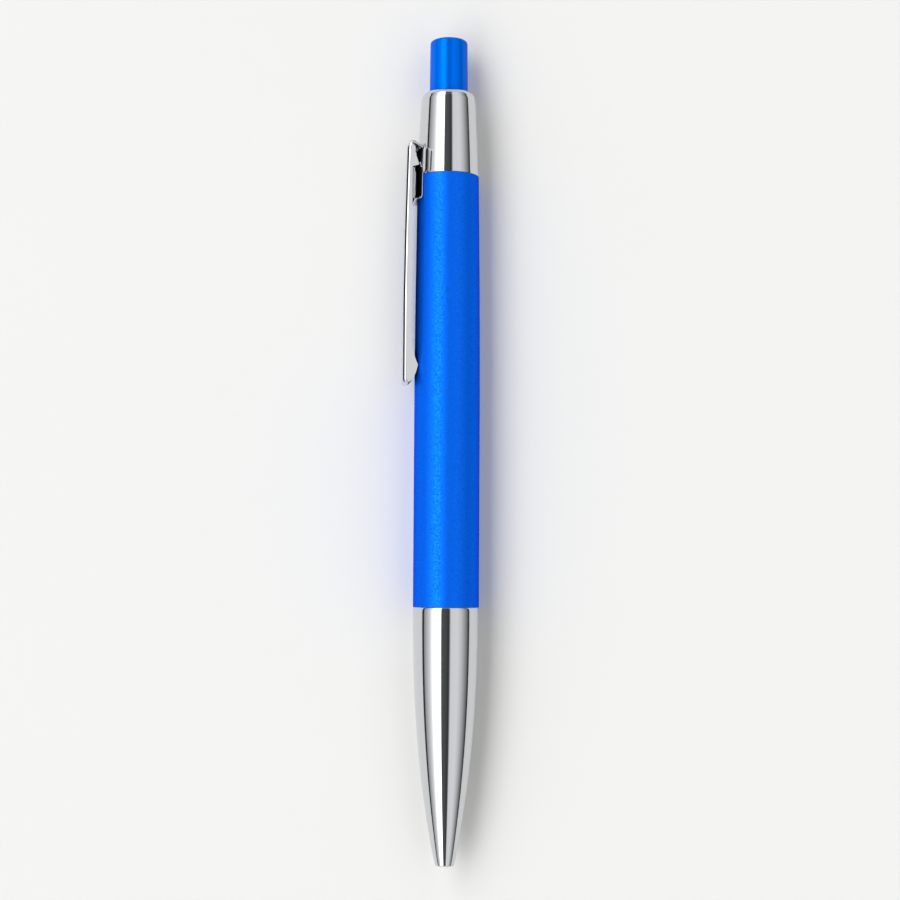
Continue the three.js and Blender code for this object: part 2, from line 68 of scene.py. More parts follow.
def span(node):
    """Lowest and highest corner of a CAD node, in millimetres."""
    low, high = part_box(node)
    return Vector(low) / MM, Vector(high) / MM


barrel_low, barrel_high = span("barrel")
AXIS_X = (barrel_low.x + barrel_high.x) / 2
AXIS_Z = (barrel_low.z + barrel_high.z) / 2
NOSE_END = span("nose_cone")[0].y
CLIP_ROLL = math.radians(5)


def station(node, end):
    """Station of a node's lower (0) or upper (1) end, in millimetres from the nose end."""
    return span(node)[end].y - NOSE_END


JOINT = station("upper_ring", 0)
MOUTH = station("upper_ring", 1)
BUTTON_TOP = station("push_button", 1)
print(f"pen {BUTTON_TOP:.2f} mm long, joint at {JOINT:.2f}, mouth at {MOUTH:.2f}")


def on_pen(radius, angle, at):
    """A point of the pen in metres, from its radius, angle and station."""
    return (
        (AXIS_X + radius * math.sin(angle)) * MM,
        (NOSE_END + at) * MM,
        (AXIS_Z + radius * math.cos(angle)) * MM,
    )


def on_clip(reach, height, across):
    """A point of the clip in metres, from its reach, height and distance across."""
    return (
        (AXIS_X - reach * math.cos(CLIP_ROLL) + across * math.sin(CLIP_ROLL)) * MM,
        (NOSE_END + JOINT + height) * MM,
        (AXIS_Z + reach * math.sin(CLIP_ROLL) + across * math.cos(CLIP_ROLL)) * MM,
    )


# %% [markdown]
# A small set of helpers makes the meshes. Turned pieces, as from a lathe, are a closed outline
# of radius and station carried round the axis. Their corners are real rounds, because an edge
# that is perfectly sharp catches no light.

# %% Helpers for meshes
# Points that lie nearer than this, in metres, are one point
SAME_POINT = 1e-7


def blend_value(a, b, share):
    return a + (b - a) * share


def steps(start, end, count):
    """Evenly spaced values from start to end, one more than the count of steps."""
    return [blend_value(start, end, i / count) for i in range(count + 1)]


def arc(centre, size, start, end, count=6):
    """Points of a round, with its angles in degrees from the radius direction."""
    turns = [math.radians(angle) for angle in steps(start, end, count)]
    return [(centre[0] + size * math.cos(t), centre[1] + size * math.sin(t)) for t in turns]


def bend(start, control, end, count):
    """Points of a curve with one control point."""
    return [
        tuple(
            (1 - t) ** 2 * a + 2 * t * (1 - t) * b + t * t * c
            for a, b, c in zip(start, control, end)
        )
        for t in steps(0, 1, count)
    ]


def grid_faces(rows, columns):
    """Faces of a grid whose points are listed row after row."""
    return [
        (start + i, start + i + 1, start + columns + i + 1, start + columns + i)
        for start in range(0, (rows - 1) * columns, columns)
        for i in range(columns - 1)
    ]


def new_mesh(name, points, faces, material, crease=35):
    """A smooth-shaded piece with sharp edges where its faces meet at more than the crease."""
    mesh = bpy.data.meshes.new(name)
    mesh.from_pydata(points, [], faces)
    shape = bmesh.new()
    shape.from_mesh(mesh)
    bmesh.ops.remove_doubles(shape, verts=shape.verts, dist=SAME_POINT)
    bmesh.ops.recalc_face_normals(shape, faces=shape.faces)
    shape.to_mesh(mesh)
    shape.free()
    mesh.shade_smooth()
    mesh.set_sharp_from_angle(angle=math.radians(crease))
    mesh.materials.append(material)
    piece = bpy.data.objects.new(name, mesh)
    bpy.context.scene.collection.objects.link(piece)
    return piece


def turned(name, outline, material, around=160):
    """A piece of revolution from a closed outline of (radius, station)."""
    points = [on_pen(r, 2 * math.pi * i / around, s) for i in range(around) for r, s in outline]
    count = len(outline)
    faces = []
    for i in range(around):
        here, after = i * count, (i + 1) % around * count
        for j in range(count):
            k = (j + 1) % count
            if outline[j][0] == 0 and outline[k][0] == 0:
                continue
            faces.append((here + j, here + k, after + k, after + j))
    return new_mesh(name, points, faces, material)


def belongs(piece, body, slot, *nodes):
    """Hangs a finished piece on its body, in place of the CAD nodes that it stands for."""
    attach(piece, body)
    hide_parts(*nodes)
    print(f"{piece.name}: {len(piece.data.polygons)} faces")


# %% [markdown]
# Every finish is a small tree of nodes. One helper adds a node: it sets the node's own settings
# and, for each input, either a value or a link. Colours are written as on a screen, and one
# function turns them to the linear values that the renderer works with.

# %% Helpers for materials
# Most values of a noise lie in this range
NOISE_RANGE = (0.3, 0.7)


def linear(code, alpha=1.0):
    """A screen colour such as "4080c0" as linear red, green, blue and alpha."""
    parts = [int(code[i:i + 2], 16) / 255 for i in (0, 2, 4)]
    return [p / 12.92 if p <= 0.04045 else ((p + 0.055) / 1.055) ** 2.4 for p in parts] + [alpha]


def add(tree, kind, inputs=None, **settings):
    """A new node with its inputs set or linked, and its own settings."""
    node = tree.nodes.new(kind)
    for name, value in settings.items():
        setattr(node, name, value)
    for name, value in (inputs or {}).items():
        if isinstance(value, bpy.types.NodeSocket):
            tree.links.new(value, node.inputs[name])
        else:
            node.inputs[name].default_value = value
    return node


def finish(name, colour, metallic=0.0, roughness=0.5, sheen=0.5, tint="ffffff"):
    """A material with its shader's plain values set. Returns it, its tree and its shader."""
    material = bpy.data.materials.new(name)
    material.use_nodes = True
    shader = material.node_tree.nodes["Principled BSDF"]
    shader.inputs["Base Color"].default_value = linear(colour)
    shader.inputs["Metallic"].default_value = metallic
    shader.inputs["Roughness"].default_value = roughness
    shader.inputs["Specular IOR Level"].default_value = sheen
    shader.inputs["Specular Tint"].default_value = linear(tint)
    return material, material.node_tree, shader


def noise(tree, size, detail=3.0, squeeze=None):
    """A noise that repeats about every size millimetres.

    The squeeze has a factor for each axis. Over 1 it presses the pattern together, and under 1
    it stretches it.
    """
    place = add(tree, "ShaderNodeTexCoord").outputs["Object"]
    if squeeze:
        squeezed = add(tree, "ShaderNodeMapping", {"Vector": place, "Scale": squeeze})
        place = squeezed.outputs["Vector"]
    return add(tree, "ShaderNodeTexNoise",
               {"Vector": place, "Scale": 1 / (size * MM), "Detail": detail}).outputs["Fac"]


def vary(tree, shader, field, low, high):
    """Lets a pattern swing the shader's roughness between two values."""
    swing = add(tree, "ShaderNodeMapRange", {
        "Value": field, "From Min": NOISE_RANGE[0], "From Max": NOISE_RANGE[1],
        "To Min": low, "To Max": high})
    tree.links.new(swing.outputs["Result"], shader.inputs["Roughness"])


def emboss(tree, shader, field, depth):
    """Raises a pattern by a depth in millimetres."""
    bump = add(tree, "ShaderNodeBump", {"Height": field, "Distance": depth * MM, "Strength": 1.0})
    tree.links.new(bump.outputs["Normal"], shader.inputs["Normal"])


# %% [markdown]
# Nose, ring and clip are polished and plated with chromium. It gives back about six tenths of
# the light, slightly cool, and almost all of its look comes from what it reflects. Real plating is
# never perfect: its polish changes over a few millimetres, and fine wiping scratches run round
# the turned pieces. Both are faint here, so that the reflections stay crisp.

# %% Chromium plate
HAZE_SIZE = 6
SCRATCH_LENGTH = 5
SCRATCH_SQUEEZE = (1.0, 60.0, 1.0)
SCRATCH_DEPTH = 0.00006


def chrome_plate(name, colour, polish):
    material, tree, shader = finish(name, colour, 1.0, polish)
    vary(tree, shader, noise(tree, HAZE_SIZE), polish * 0.7, polish * 1.5)
    emboss(tree, shader, noise(tree, SCRATCH_LENGTH, 2.0, SCRATCH_SQUEEZE), SCRATCH_DEPTH)
    return material


chrome = chrome_plate("chromium_plate", "d1d3d6", 0.05)
clip_chrome = chrome_plate("chromium_plate_on_sheet", "d6d7da", 0.055)
print("made", chrome.name, "and", clip_chrome.name)

# %% [markdown]
# The clip's inner side and the leaf's face behind it are painted dull and dark: this is painted
# shade inside the narrow folded channel. They keep the fine lines of rolled steel sheet.

# %% Rolled steel inside the clip, painted dark as shade
ROLLED_LINE = 0.2
ROLLED_STRETCH = (1.0, 0.05, 1.0)
ROLLED_DEPTH = 0.0006


def rolled_sheet_painted_shade():
    # The dark grey colour is painted shade inside the folds; the lines and their bumps are the
    # rolled sheet's own.
    material, tree, shader = finish("rolled_steel_inside_folds_painted_shade", "4c5058", 1.0, 0.3)
    lines = noise(tree, ROLLED_LINE, 2.0, ROLLED_STRETCH)
    vary(tree, shader, lines, 0.24, 0.4)
    emboss(tree, shader, lines, ROLLED_DEPTH)
    return material


rolled_steel_painted_shade = rolled_sheet_painted_shade()
print("made", rolled_steel_painted_shade.name)

# %% [markdown]
# The barrel is a metal tube with a satin metallic lacquer: tiny flakes lie under a clear coat,
# so the light spreads along the tube in a soft band and the surface sparkles in fine grains.
# Flakes that lie flat give back a narrow band of light and tilted ones a wide one, so roughness
# varies from grain to grain. A flake is a few hundredths of a millimetre, far under a pixel
# here, so the grain is drawn at about a quarter of a millimetre.

# %% Satin metallic lacquer
GRAIN_SIZE = 0.25
GRAIN_DEPTH = 0.004
# A Mix node has sockets of the same name for each kind of value, so colours go by number
MIX_COLOUR_A, MIX_COLOUR_B, MIX_RESULT = 6, 7, 2


def satin_lacquer():
    material, tree, shader = finish("satin_metallic_lacquer", "0068ff", 0.85, 0.45, 0.1, "0034a0")
    flakes = noise(tree, GRAIN_SIZE, 1.0)
    tint = add(tree, "ShaderNodeMix", {"Factor": flakes}, data_type="RGBA")
    tint.inputs[MIX_COLOUR_A].default_value = linear("0c68fa")
    tint.inputs[MIX_COLOUR_B].default_value = linear("107bff")
    tree.links.new(tint.outputs[MIX_RESULT], shader.inputs["Base Color"])
    vary(tree, shader, flakes, 0.68, 0.34)
    emboss(tree, shader, flakes, GRAIN_DEPTH)
    return material


lacquer = satin_lacquer()
print("made", lacquer.name)

# %% [markdown]
# The button is injection-moulded plastic with pigment and a little pearl through it, so that its
# highlight keeps the blue, and a smooth, half-glossy skin. A mould leaves a very slight
# unevenness that only shows in how the highlight wavers. The white and black pieces of the
# click mechanism are moulded too, and grease and ink have the same kind of quiet skin.

# %% Moulded plastics, grease and ink
def moulded_plastic(name, colour, gloss, grain=1.6, depth=0.002, **looks):
    material, tree, shader = finish(name, colour, roughness=gloss, **looks)
    skin = noise(tree, grain)
    vary(tree, shader, skin, gloss * 0.88, gloss * 1.12)
    emboss(tree, shader, skin, depth)
    return material


button_blue = moulded_plastic("moulded_blue_plastic", "006eef", 0.24,
                              metallic=0.4, sheen=0.08, tint="0060d0")
guide_white = moulded_plastic("moulded_white_acetal", "e6e6e0", 0.42)
ratchet_black = moulded_plastic("moulded_black_acetal", "2a2c30", 0.4)
grease_amber = moulded_plastic("follower_grease", "cfc48e", 0.3, 2.5, 0.01)
ink_blue = moulded_plastic("ballpoint_ink", "10185a", 0.15, 4, 0.003)
plastics = [button_blue, guide_white, ratchet_black, grease_amber, ink_blue]
print("made", ", ".join(material.name for material in plastics))

# %% [markdown]
# The inner metal pieces are turned or drawn and left as the machine made them. A turned piece
# has fine rings round its axis, a drawn tube or wire has fine lines along it. The rings come
# from noise that is stretched across the pen's axis, the lines from noise stretched along it.

# %% Turned and drawn metals
STRETCH = 0.04
ROUND_THE_AXIS = (STRETCH, 1.0, STRETCH)
ALONG_THE_AXIS = (1.0, STRETCH, 1.0)
TOOL_MARK_DEPTH = 0.002


def machined(name, colour, roughness, line_size, direction):
    material, tree, shader = finish(name, colour, 1.0, roughness)
    lines = noise(tree, line_size, squeeze=direction)
    vary(tree, shader, lines, roughness * 0.8, roughness * 1.25)
    emboss(tree, shader, lines, TOOL_MARK_DEPTH)
    return material


turned_brass = machined("turned_brass", "c9a469", 0.24, 0.15, ROUND_THE_AXIS)
drawn_steel = machined("drawn_steel_tube", "b9bcc0", 0.28, 0.12, ALONG_THE_AXIS)
spring_wire = machined("drawn_spring_wire", "a9adb2", 0.22, 0.1, ALONG_THE_AXIS)
ground_carbide = machined("ground_carbide", "8a8c90", 0.12, 0.1, ROUND_THE_AXIS)
metals = [turned_brass, drawn_steel, spring_wire, ground_carbide]
print("made", ", ".join(material.name for material in metals))

# %% [markdown]
# The nose cone is turned from brass bar and plated. Its side isn't straight: it leaves the
# barrel almost parallel and closes ever faster towards the writing end, which a power of the
# distance from the wide end describes well. The writing end is a small rounded rim round the
# bore, and the wide end has a narrow chamfer, which is the bright line at the joint.

# %% Nose cone
CONE_LENGTH = station("nose_cone", 1)
CONE_WIDE = (barrel_high.x - barrel_low.x) / 2
RIM_RADIUS = 1.61
RIM_ROUND = 0.3
CONE_POWER = 2.3
RIM_ARC_END = -8
RIM_TOP = 1.2
EDGE_CHAMFER = 0.12
CHAMFER_DEPTH = EDGE_CHAMFER * 0.6
THREAD_LENGTH = 6.6
THREAD_BORE = 4.3
REFILL_BORE = 3.3
CHAMBER_BORE = 2.49
CHAMBER_TOP = 21.0
SPRING_SEAT = 7.5
POINT_BORE = 1.16


def cone_radius(at):
    """Radius of the nose at a station."""
    return RIM_RADIUS + (CONE_WIDE - RIM_RADIUS) * (1 - (1 - at / CONE_LENGTH) ** CONE_POWER)


cone_outline = [
    *arc((RIM_RADIUS - RIM_ROUND, RIM_ROUND), RIM_ROUND, -90, RIM_ARC_END, 8),
    *[(cone_radius(at), at) for at in steps(RIM_TOP, CONE_LENGTH - EDGE_CHAMFER, 70)],
    (CONE_WIDE - CHAMFER_DEPTH, CONE_LENGTH),
    (THREAD_BORE, CONE_LENGTH),
    (THREAD_BORE, CONE_LENGTH - THREAD_LENGTH),
    (REFILL_BORE, CONE_LENGTH - THREAD_LENGTH),
    (REFILL_BORE, CHAMBER_TOP),
    (CHAMBER_BORE, CHAMBER_TOP),
    (CHAMBER_BORE, SPRING_SEAT),
    (POINT_BORE, SPRING_SEAT),
    (POINT_BORE, 0.0),
]
nose = turned("nose_cone_turned", cone_outline, chrome, around=192)
belongs(nose, "nose", "chrome", "nose_cone")

# %% [markdown]
# The barrel is a drawn tube that runs straight for half of its length and then draws in a
# little towards the ring. Both its ends are cut square, the lower one slightly rounded over.

# %% Barrel
BARREL_FOOT = station("barrel", 0)
BARREL_TOP = station("barrel", 1)
BARREL_BORE = 4.5
BARREL_END = 5.18
TAPER_LENGTH = 37.0
TAPER_POWER = 1.6
EDGE_ROUND = 0.1
CUT_EDGE = 0.03


def barrel_radius(at):
    """Radius of the barrel at a station."""
    share = max(0.0, (at - (BARREL_TOP - TAPER_LENGTH)) / TAPER_LENGTH)
    return CONE_WIDE - (CONE_WIDE - BARREL_END) * share ** TAPER_POWER


taper_stations = steps(BARREL_TOP - TAPER_LENGTH, BARREL_TOP - CUT_EDGE, 40)
barrel_outline = [
    (BARREL_BORE, BARREL_FOOT),
    *arc((CONE_WIDE - EDGE_ROUND, BARREL_FOOT + EDGE_ROUND), EDGE_ROUND, -90, 0, 5),
    *[(barrel_radius(at), at) for at in taper_stations],
    (BARREL_END - CUT_EDGE, BARREL_TOP),
    (BARREL_BORE, BARREL_TOP),
]
barrel = turned("barrel_tube", barrel_outline, lacquer, around=192)
belongs(barrel, "barrel", "blue_lacquer", "barrel")

# %% [markdown]
# The ring at the top is turned and plated like the nose. It draws in towards its rounded
# shoulder, and its mouth is only a hair wider than the button that slides in it.

# %% Upper ring
SHOULDER_ROUND = 1.2
SHOULDER_RADIUS = 4.6
SHOULDER_ARC_START = 4
RING_POWER = 1.45
RING_CHAMFER = 0.14
MOUTH_RADIUS = 3.35
LIP_LENGTH = 1.75
SLEEVE_SEAT = 3.9
BUSH_SEAT = 6.3
MOUTH_ROUND = 0.05
ring_taper = MOUTH - JOINT - SHOULDER_ROUND


def ring_radius(height):
    """Radius of the ring at a height over its joint with the barrel."""
    return BARREL_END - (BARREL_END - SHOULDER_RADIUS) * (height / ring_taper) ** RING_POWER


def skin_radius(height):
    """Radius of ring or barrel at a height over their joint."""
    return ring_radius(height) if height >= 0 else barrel_radius(JOINT + height)


shoulder_centre = (SHOULDER_RADIUS - SHOULDER_ROUND, MOUTH - SHOULDER_ROUND)
ring_heights = steps(RING_CHAMFER, ring_taper, 36)
ring_outline = [
    (BARREL_END - CUT_EDGE, JOINT),
    *[(ring_radius(height) + CUT_EDGE, JOINT + height) for height in ring_heights],
    *arc(shoulder_centre, SHOULDER_ROUND, SHOULDER_ARC_START, 90, 16),
    (MOUTH_RADIUS, MOUTH - MOUTH_ROUND),
    (MOUTH_RADIUS, MOUTH - LIP_LENGTH),
    (SLEEVE_SEAT, MOUTH - LIP_LENGTH),
    (SLEEVE_SEAT, JOINT + BUSH_SEAT),
    (BARREL_BORE, JOINT + BUSH_SEAT),
    (BARREL_BORE, JOINT),
]
ring = turned("upper_ring_turned", ring_outline, chrome, around=192)
belongs(ring, "barrel", "chrome", "upper_ring")

# %% [markdown]
# The button is a moulded cup, drafted by a few hundredths so that it leaves its mould, with a
# rounded rim and a flat top. Inside it grips the pusher of the click mechanism.

# %% Push button
BUTTON_FOOT = station("push_button", 0)
BUTTON_RADIUS = 3.24
BUTTON_DRAFT = 0.07
BUTTON_ROUND = 0.6
BUTTON_CHAMFER = 0.1
BUTTON_WALL_TOP = 5.2
PUSHER_SEAT = 2.55
button_tip = BUTTON_RADIUS - BUTTON_DRAFT
button_outline = [
    (PUSHER_SEAT, BUTTON_FOOT),
    (BUTTON_RADIUS - BUTTON_CHAMFER, BUTTON_FOOT),
    (BUTTON_RADIUS, BUTTON_FOOT + BUTTON_CHAMFER),
    (BUTTON_RADIUS, MOUTH),
    *arc((button_tip - BUTTON_ROUND, BUTTON_TOP - BUTTON_ROUND), BUTTON_ROUND, 0, 90, 12),
    (0.0, BUTTON_TOP),
    (0.0, BUTTON_TOP - BUTTON_WALL_TOP),
    (PUSHER_SEAT, BUTTON_TOP - BUTTON_WALL_TOP),
]
button = turned("push_button_moulded", button_outline, button_blue, around=128)
belongs(button, "button", "blue_plastic", "push_button")

# %% [markdown]
# The clip is stamped from one sheet: a web with a flange folded down on each side, a closed
# head, an ear and a notch on each flange near the head, and a bump near the tail that grips the
# cloth of a pocket. It is modelled as its sheet. The back line runs from the tail over the head
# to the ring, the edge line is where the flanges end, and rungs join the two. Each rung carries
# one section: web, tight fold and flange. Solidify then gives the sheet its thickness and Bevel
# its softened edges.

# %% Measures of the clip
CLIP_WIDTH = 5.4
CLIP_SHEET = 0.4
# The press leaves the fold with a narrow flat and a gently curved run beside it, between tight
# bends. Each run has the degrees that it turns, its length and its steps.
FOLD_RUNS = [(42, 0.06, 3), (0, 0.02, 1), (0, 0.34, 1), (0, 0.02, 1), (16, 0.03, 2), (15, 0.18, 5),
             (17, 0.04, 3)]
TAIL = -35.4
TAIL_LIP = 0.95
TAIL_CORNER_REACH = 0.45
TAIL_CORNER_RISE = 0.8
TAIL_REACH = CONE_WIDE + 2.13
MID_REACH = BARREL_END + 2.27
HEAD_REACH = BARREL_END + 1.95
EDGE_REACH = BARREL_END + 1.04
BOW_REACH = EDGE_REACH + 0.14
BACK_BENDS = (-20.9, -9.0)
EDGE_BENDS = (-25.6, -19.8, -11.3, 1.2)
BUMP = (math.sqrt(CONE_WIDE ** 2 - (CLIP_WIDTH / 2) ** 2) + 0.33, TAIL + 3.1)
BUMP_RUN = 2.4
BUMP_LEAD = 5.3
HEEL_START = (TAIL_REACH - 1.2, TAIL + 0.25)
HEEL_CONTROL = (BUMP[0] + 0.38, TAIL + 1.0)
EAR_SHANK = EDGE_REACH - 0.45
EAR_TIP = EDGE_REACH - 1.05
EAR_NOTCH = (EDGE_REACH - 0.06, 1.26)
EAR_CORNER = ((EAR_TIP + 0.2, 1.46), (EAR_TIP, 1.5), (EAR_TIP, 1.75))
EAR_SHOULDER = 3.5
HEAD_START = EAR_SHOULDER + 0.05
HEAD_TOP = 5.85
HEAD_CREST = HEAD_TOP + 0.25
HEAD_END = (HEAD_REACH - 1.15, HEAD_TOP - 0.1)
GAP_TOP = 5.0
GAP_CORNER = (EAR_SHANK, GAP_TOP)
PLATE_START = (EAR_SHANK - 0.2, GAP_TOP + 0.5)
PLATE_SLOPE = 0.62
ROOT_GAP = 0.02
print(f"clip {CLIP_WIDTH} mm wide, tail at {TAIL} and bump at {BUMP[1]:.1f} mm over the joint")

# %% Side lines of the clip
TAIL_RUNGS = 12
EDGE_RUNGS = 16
HEAD_RUNGS = 16
# Kept back from a line's end, so that rounding can't step past it
ROUNDING = 1e-9


def spread(line, count):
    """A given count of points, evenly spaced along a line of points."""
    lengths = [math.dist(a, b) for a, b in zip(line, line[1:])]
    points = []
    for target in steps(0, sum(lengths) - ROUNDING, count - 1):
        for a, b, length in zip(line, line[1:], lengths):
            if target <= length:
                break
            target -= length
        points.append(tuple(blend_value(p, q, min(1.0, target / length)) for p, q in zip(a, b)))
    return points


tail_corner = [
    (TAIL_REACH - TAIL_CORNER_REACH, TAIL),
    (TAIL_REACH, TAIL),
    (TAIL_REACH, TAIL + TAIL_CORNER_RISE),
]
tail_back = [(TAIL_REACH - TAIL_LIP, TAIL), *bend(*tail_corner, 6), (TAIL_REACH, BUMP[1])]
heel_line = bend(HEEL_START, HEEL_CONTROL, BUMP, 8)
lead_line = bend(BUMP, (EDGE_REACH, BUMP[1] + BUMP_RUN), (BOW_REACH, BUMP[1] + BUMP_LEAD), 12)
long_edge = list(zip([BOW_REACH, BOW_REACH, EDGE_REACH, EDGE_REACH], EDGE_BENDS))
ear_line = [EAR_NOTCH, *bend(*EAR_CORNER, 4), (EAR_SHANK, EAR_SHOULDER)]
back_line = [
    (TAIL_REACH, BUMP[1]), (TAIL_REACH, BACK_BENDS[0]), (MID_REACH, BACK_BENDS[1]),
    (HEAD_REACH, HEAD_START),
]
head_line = [
    (HEAD_REACH, EAR_SHOULDER),
    *bend((HEAD_REACH, HEAD_START), (HEAD_REACH, HEAD_CREST), HEAD_END, 14),
    PLATE_START,
]
gap_line = [(EAR_SHANK, EAR_SHOULDER), GAP_CORNER]


def back_at(height):
    """The back line's point at a height, between bump and head."""
    for (reach, low), (next_reach, high) in zip(back_line, back_line[1:]):
        if height <= high:
            return blend_value(reach, next_reach, (height - low) / (high - low)), height
    return back_line[-1]


rungs = list(zip(spread(tail_back, TAIL_RUNGS), spread(heel_line, TAIL_RUNGS)))
for point in [*lead_line[1:], *spread(long_edge, EDGE_RUNGS), *ear_line]:
    rungs.append((back_at(point[1]), point))
rungs += list(zip(spread(head_line, HEAD_RUNGS)[1:], spread(gap_line, HEAD_RUNGS)[1:]))
print(f"clip: {len(rungs)} rungs from tail to head")

# %% Helpers for sheet metal
SHEET_CREASE = 28
SOFT_EDGE = 0.42
SOFT_EDGE_STEPS = 3
SOFT_EDGE_ANGLE = math.radians(40)


def applied(piece, crease):
    """Makes a piece's modifiers part of its mesh, and marks its creases again."""
    seen = piece.evaluated_get(bpy.context.evaluated_depsgraph_get())
    mesh = bpy.data.meshes.new_from_object(seen)
    piece.modifiers.clear()
    piece.data = mesh
    mesh.shade_smooth()
    mesh.set_sharp_from_angle(angle=math.radians(crease))
    return piece


def sheet_metal(name, points, faces, thickness, away, known=0, behind=clip_chrome):
    """A folded sheet, thickened behind its skin.

    The face numbered known looks the way that away points, so the skin is flipped if it doesn't.
    """
    piece = new_mesh(name, points, faces, clip_chrome)
    piece.data.materials.append(behind)
    if piece.data.polygons[known].normal.dot(away) < 0:
        piece.data.flip_normals()
    thick = piece.modifiers.new("sheet", "SOLIDIFY")
    thick.thickness = thickness * MM
    thick.offset = -1
    thick.material_offset = 1
    soft = piece.modifiers.new("softened edges", "BEVEL")
    soft.width = thickness * SOFT_EDGE * MM
    soft.segments = SOFT_EDGE_STEPS
    soft.limit_method = "ANGLE"
    soft.angle_limit = SOFT_EDGE_ANGLE
    return applied(piece, SHEET_CREASE)


# %% Section of the clip
FLANGE_RUNS = [0.03, 0.3, 0.6, 0.97, 1.0]


def fold_line():
    """The fold from web to flange in section, as (across, depth) points."""
    line = [(0.0, 0.0)]
    angle = 0.0
    for turn, length, count in FOLD_RUNS:
        half_turn, run = math.radians(turn) / count / 2, length / count
        for _ in range(count):
            angle += half_turn
            across, depth = line[-1]
            line.append((across + run * math.cos(angle), depth + run * math.sin(angle)))
            angle += half_turn
    return line


fold = fold_line()
half_web = CLIP_WIDTH / 2 - fold[-1][0]
fold_depth = fold[-1][1]
half_section = [(across, 0.0, 0.0) for across in steps(0, half_web, 5)]
half_section += [(half_web + across, depth, 0.0) for across, depth in fold[1:]]
half_section += [(CLIP_WIDTH / 2, fold_depth, run) for run in FLANGE_RUNS]
other_half = [(-across, depth, run) for across, depth, run in reversed(half_section[1:])]
section = other_half + half_section
print(f"section of {len(section)} points, its fold {fold_depth:.2f} mm deep")

# %% Sheet of the clip
FLANGE_LEAN = math.radians(5.5)
FOLD_ROOM = 0.8
PLATE_RUNGS = 5


def fold_share(back, edge):
    """How much of the fold's depth there is room for between the back line and the edge line."""
    return min(1.0, FOLD_ROOM * math.dist(back, edge) / fold_depth)


def clip_point(back, inward, edge, column):
    """A point of the clip's skin: one column of its section, laid on one rung."""
    across, depth, run = column
    depth *= fold_share(back, edge)
    start = tuple(b + n * depth for b, n in zip(back, inward))
    reach, height = (blend_value(s, e, run) for s, e in zip(start, edge))
    lean = math.dist(start, (reach, height)) * math.tan(FLANGE_LEAN)
    return on_clip(reach, height, across - math.copysign(lean, across))


def inward_at(index, line):
    """The direction from the back line into the clip at one of the line's points."""
    before, after = line[max(0, index - 1)], line[min(len(line) - 1, index + 1)]
    length = math.dist(before, after)
    return (before[1] - after[1]) / length, (after[0] - before[0]) / length


def plate_point(share, column):
    """A point of the slanted top plate, which ends on a round line beside the ring."""
    across, depth, _ = column
    depth *= fold_share(PLATE_START, GAP_CORNER)
    end = math.sqrt((skin_radius(GAP_TOP) + ROOT_GAP) ** 2 - across ** 2)
    reach = blend_value(PLATE_START[0], end, share)
    height = PLATE_START[1] - (PLATE_START[0] - reach) * PLATE_SLOPE
    slant = math.hypot(1, PLATE_SLOPE)
    down = (PLATE_SLOPE / slant, -1 / slant)
    return on_clip(reach + down[0] * depth, height + down[1] * depth, across)


backs = [back for back, _ in rungs]
clip_points = []
for i, (back, edge) in enumerate(rungs):
    clip_points += [clip_point(back, inward_at(i, backs), edge, column) for column in section]
for share in steps(0, 1, PLATE_RUNGS)[1:]:
    clip_points += [plate_point(share, column) for column in section]
columns = len(section)
clip_faces = grid_faces(len(rungs) + PLATE_RUNGS, columns)
web_face = len(rungs) // 2 * (columns - 1) + columns // 2
outward = Vector(on_clip(1, 0, 0)) - Vector(on_clip(0, 0, 0))
# The clip's inner side is the rolled steel painted dark as shade inside the fold.
clip = sheet_metal("pocket_clip_stamped", clip_points, clip_faces, CLIP_SHEET, outward,
                   known=web_face, behind=rolled_steel_painted_shade)
belongs(clip, "clip", "chrome", "pocket_clip")

# %% [markdown]
# Under the clip a second piece of sheet lies like a saddle on ring and barrel. Its foot turns
# outwards and ends in an upturned hook behind the flanges, and a small tab is lanced out of each
# side below the ears. A wing on each side grips the ring. The saddle follows the round of the
# pen, so each line across the leaf starts at its own reach, and the fold at the foot is tighter
# where there is less room.

# %% Lines of the leaf
LEAF_SHEET = 0.3
LEAF_GAP = 0.08
LEAF_HALF = CLIP_WIDTH / 2 + 0.2
LEAF_TOP = 4.2
SOLE = -4.4
LEAF_HOOK = 5.4
HOOK_REACH = EDGE_REACH - LEAF_GAP
HOOK_ROUND = 0.34
FOOT_ROUND = 0.75
FOOT_ROOM = 0.45
TAB_SHEET = LEAF_SHEET * 0.8
TAB_INNER = 1.7
TAB_FOOT = 0.1
TAB_REACH = 5.1
TAB_TOP = 1.95
TAB_BEND_REACH = 0.05
TAB_BEND_RISE = 0.2
WING_HALF = 4.1
WING_ROUND = 0.7
WING_FOOT = 0.12
WING_LIFT = 0.05


def saddle_reach(height, across):
    """Reach of the leaf's underside where it lies on the pen."""
    return math.sqrt((skin_radius(height) + LEAF_GAP) ** 2 - across ** 2)


def leaf_line(across):
    """The leaf's underside from the saddle's top, round the foot, to the hook's end."""
    low = saddle_reach(SOLE, across)
    foot = min(FOOT_ROUND, FOOT_ROOM * (HOOK_REACH - low))
    line = [(saddle_reach(h, across), h) for h in steps(LEAF_TOP, SOLE + foot, 12)]
    line += arc((low + foot, SOLE + foot), foot, 180, 270, 6)[1:]
    line += arc((HOOK_REACH - HOOK_ROUND, SOLE + HOOK_ROUND), HOOK_ROUND, -90, 0, 6)
    line += [(HOOK_REACH, h) for h in steps(SOLE + HOOK_ROUND, SOLE + LEAF_HOOK, 5)[1:]]
    return line


def tab_line(across):
    """The lanced tab in side view, an S from the saddle to its free end."""
    start = saddle_reach(TAB_FOOT, across)
    middle = ((start + TAB_REACH) / 2, (TAB_FOOT + TAB_TOP) / 2)
    leaving = (start + TAB_BEND_REACH, middle[1] - TAB_BEND_RISE)
    arriving = (TAB_REACH - TAB_BEND_REACH, middle[1] + TAB_BEND_RISE)
    line = bend((start, TAB_FOOT), leaving, middle, 5)
    return line + bend(middle, arriving, (TAB_REACH, TAB_TOP), 5)[1:]


